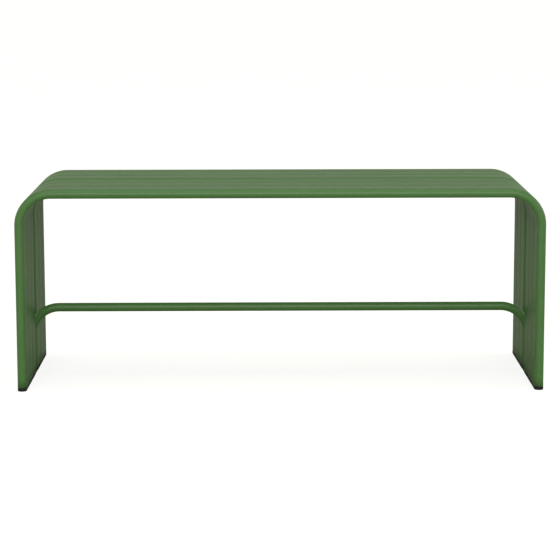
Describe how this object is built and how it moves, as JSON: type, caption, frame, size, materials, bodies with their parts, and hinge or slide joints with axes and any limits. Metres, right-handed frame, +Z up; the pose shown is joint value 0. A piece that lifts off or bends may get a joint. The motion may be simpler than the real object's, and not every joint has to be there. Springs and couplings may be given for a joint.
{
  "type": "backless bench",
  "caption": "Backless outdoor bench of six bent flat tube slats that fold down into slab legs, with a low round stretcher.",
  "frame": {"origin": "on the floor, under the middle of the seat", "axes": "+X along the seat to the right, -Y towards the front, +Z up; the bench is symmetric about the XZ and YZ planes"},
  "size_m": [1.17, 0.434, 0.45],
  "materials": {
    "green_paint": "satin leaf-green powder coat",
    "black_plastic": "matt black moulded plastic"
  },
  "bodies": {
    "root": {"front_inner_slat": "green_paint", "front_middle_slat": "green_paint", "front_outer_slat": "green_paint", "rear_inner_slat": "green_paint", "rear_middle_slat": "green_paint", "rear_outer_slat": "green_paint", "stretcher": "green_paint", "left_seat_bar": "green_paint", "middle_seat_bar": "green_paint", "right_seat_bar": "green_paint", "left_front_inner_foot": "black_plastic", "left_front_middle_foot": "black_plastic", "left_front_outer_foot": "black_plastic", "left_front_inner_low_tab": "green_paint", "left_front_inner_high_tab": "green_paint", "left_front_outer_low_tab": "green_paint", "left_front_outer_high_tab": "green_paint", "left_front_stretcher_tab": "green_paint", "left_rear_inner_foot": "black_plastic", "left_rear_middle_foot": "black_plastic", "left_rear_outer_foot": "black_plastic", "left_rear_inner_low_tab": "green_paint", "left_rear_inner_high_tab": "green_paint", "left_rear_outer_low_tab": "green_paint", "left_rear_outer_high_tab": "green_paint", "left_rear_stretcher_tab": "green_paint", "left_stretcher_foot": "black_plastic", "right_front_inner_foot": "black_plastic", "right_front_middle_foot": "black_plastic", "right_front_outer_foot": "black_plastic", "right_front_inner_low_tab": "green_paint", "right_front_inner_high_tab": "green_paint", "right_front_outer_low_tab": "green_paint", "right_front_outer_high_tab": "green_paint", "right_front_stretcher_tab": "green_paint", "right_rear_inner_foot": "black_plastic", "right_rear_middle_foot": "black_plastic", "right_rear_outer_foot": "black_plastic", "right_rear_inner_low_tab": "green_paint", "right_rear_inner_high_tab": "green_paint", "right_rear_outer_low_tab": "green_paint", "right_rear_outer_high_tab": "green_paint", "right_rear_stretcher_tab": "green_paint", "right_stretcher_foot": "black_plastic"}
  },
  "joints": []
}
